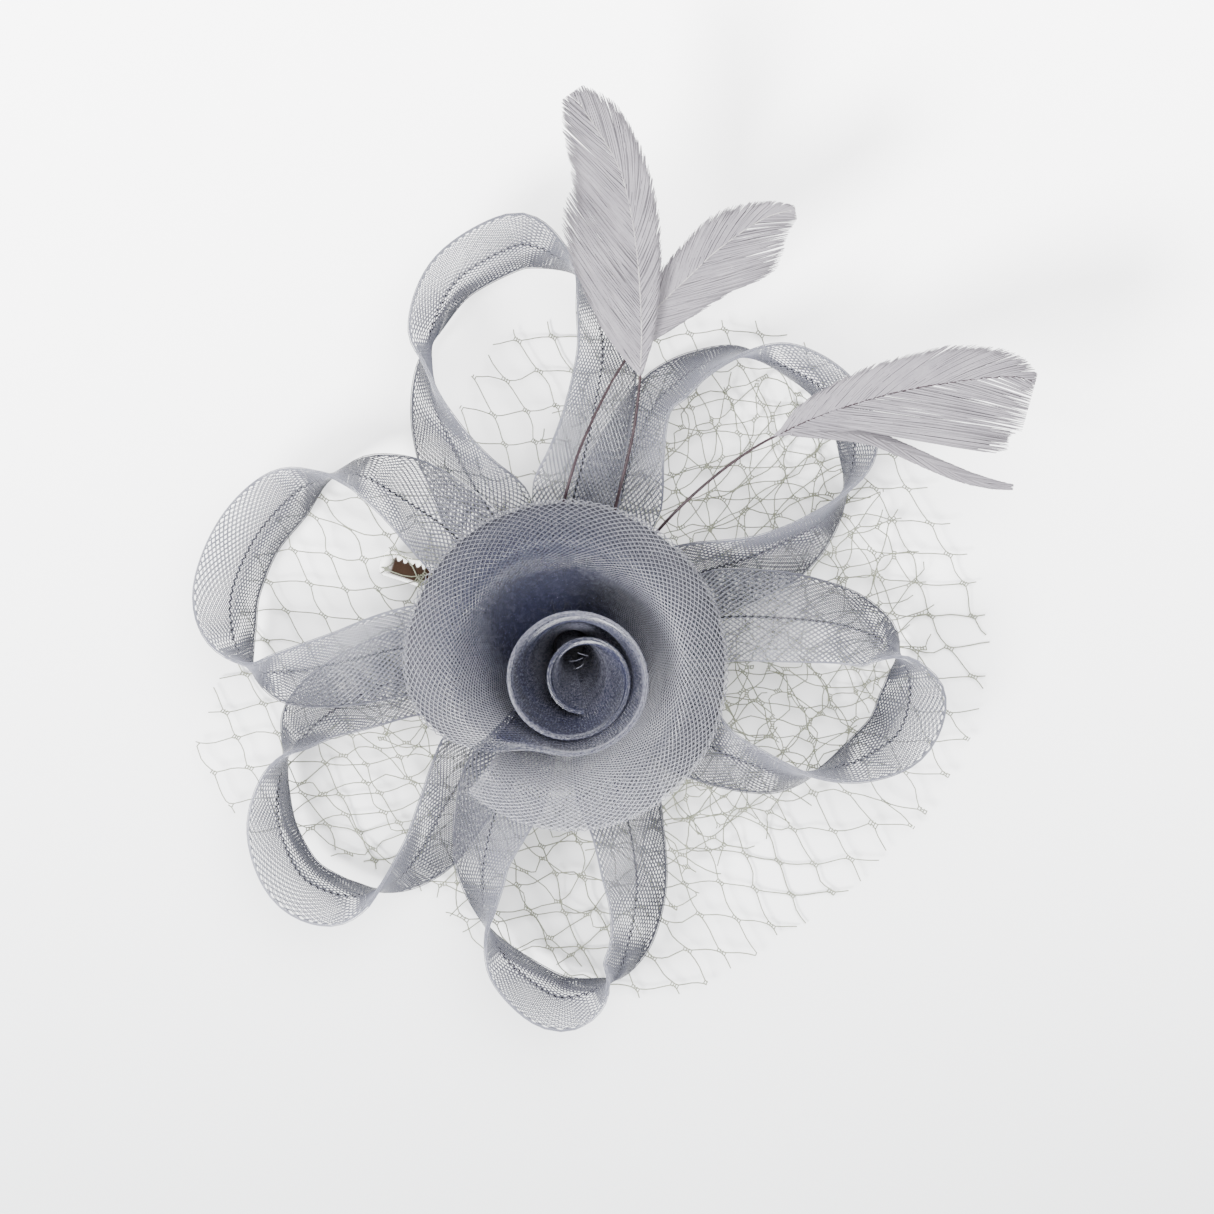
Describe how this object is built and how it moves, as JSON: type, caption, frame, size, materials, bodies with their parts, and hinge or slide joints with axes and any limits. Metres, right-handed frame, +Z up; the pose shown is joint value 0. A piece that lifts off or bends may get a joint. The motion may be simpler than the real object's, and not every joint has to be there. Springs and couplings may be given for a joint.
{
  "type": "fascinator",
  "caption": "Hair fascinator: a coiled crinoline rose over six ribbon loops on a felt base, with a round of millinery net, feathers and an alligator clip",
  "frame": {"origin": "under the middle of the outer box, on the surface that the fascinator lies on", "axes": "+Z up from the surface, +Y towards the tall feather's tip, +X to the right seen from above"},
  "size_m": [0.2524, 0.2816, 0.0637],
  "materials": {
    "braid": "satin nylon braid",
    "rose_braid": "satin nylon braid",
    "feather": "matt",
    "net": "matt",
    "felt": "matt",
    "metal": "polished"
  },
  "bodies": {
    "root": {"felt_base": "felt", "clip_top_jaw": "metal", "clip_pin": "metal", "clip_spring": "metal", "veil": "net", "loop_top": "braid", "loop_upper_right": "braid", "loop_right": "braid", "loop_bottom": "braid", "loop_lower_left": "braid", "loop_left": "braid", "rose": "rose_braid", "feather_tall": "feather", "feather_short": "feather", "feather_right": "feather"},
    "toothed_jaw": {"clip_toothed_jaw": "metal"}
  },
  "joints": [
    {"name": "clip_hinge", "type": "hinge", "parent": "root", "child": "toothed_jaw", "pos_m": [-0.03346, -0.01137, 0.0056], "axis": [-0.309, -0.9511, 0], "range_deg": [0, 15], "stiffness_Nm_per_rad": 0.1, "springref_deg": -28.65}
  ]
}
